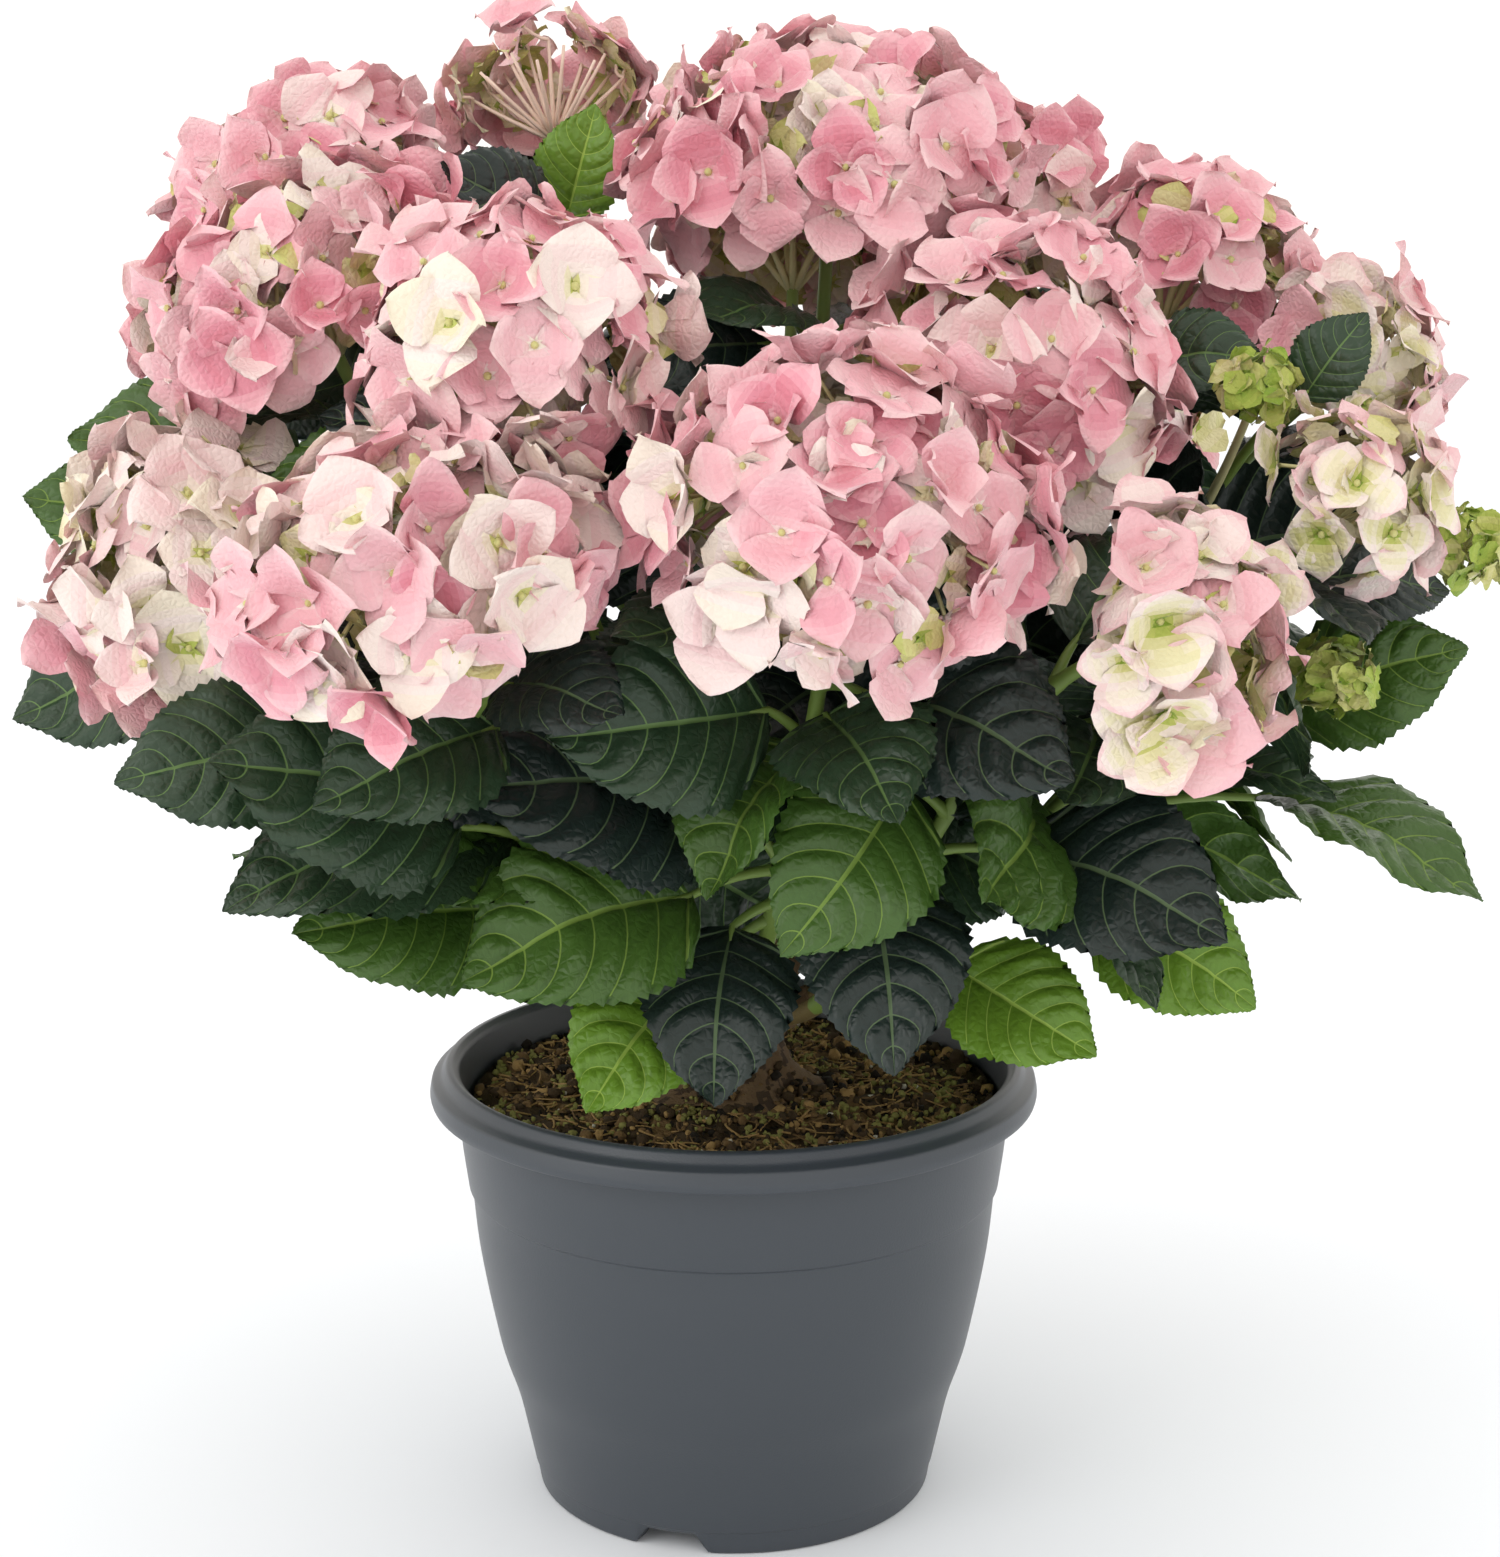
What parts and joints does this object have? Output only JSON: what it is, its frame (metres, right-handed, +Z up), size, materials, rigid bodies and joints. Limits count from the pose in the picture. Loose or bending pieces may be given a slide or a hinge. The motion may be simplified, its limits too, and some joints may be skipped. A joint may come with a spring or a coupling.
{
  "type": "potted hydrangea shrub",
  "caption": "Flowering mophead shrub with leafy shoots from a short woody crown, in a round tapered nursery pot filled with soil.",
  "frame": {"origin": "centre of the pot's flat underside", "axes": "+Z up, the pot's axis; -Y toward the side from which the plant is seen; +X to the right of that view"},
  "size_m": [0.5403, 0.4704, 0.5635],
  "materials": {
    "pot": "matte",
    "soil": "matte",
    "bark": "matte",
    "stem": "satin",
    "leaf": "satin",
    "bloom_pink": "matte",
    "bloom_pale": "matte",
    "bloom_cream": "matte",
    "bloom_green": "matte"
  },
  "bodies": {
    "root": {"pot": "pot", "soil": "soil", "crown": "bark", "stem_a": "stem", "stem_b": "stem", "stem_c": "stem", "stem_d": "stem", "stem_e": "stem", "stem_f": "stem", "stem_g": "stem", "stem_h": "stem", "stem_i": "stem", "stem_j": "stem", "stem_k": "stem", "stem_l": "stem", "stem_m": "stem", "stem_n": "stem", "stem_o": "stem", "stem_p": "stem", "stem_q": "stem", "stem_r": "stem", "foliage_a": "leaf", "foliage_b": "leaf", "foliage_c": "leaf", "foliage_d": "leaf", "foliage_e": "leaf", "foliage_f": "leaf", "foliage_g": "leaf", "foliage_h": "leaf", "foliage_i": "leaf", "foliage_j": "leaf", "foliage_k": "leaf", "foliage_l": "leaf", "foliage_m": "leaf", "foliage_n": "leaf", "foliage_o": "leaf", "foliage_p": "leaf", "foliage_q": "leaf", "foliage_r": "leaf", "bloom_a": "bloom_pink", "bloom_b": "bloom_pink", "bloom_c": "bloom_pink", "bloom_d": "bloom_pale", "bloom_e": "bloom_pink", "bloom_f": "bloom_pink", "bloom_g": "bloom_pink", "bloom_h": "bloom_green", "bloom_i": "bloom_green", "bloom_j": "bloom_pink", "bloom_k": "bloom_pink", "bloom_l": "bloom_cream", "bloom_m": "bloom_cream", "bloom_n": "bloom_green", "bloom_o": "bloom_pink", "bloom_p": "bloom_pale", "bloom_q": "bloom_cream", "bloom_r": "bloom_pink"}
  },
  "joints": []
}
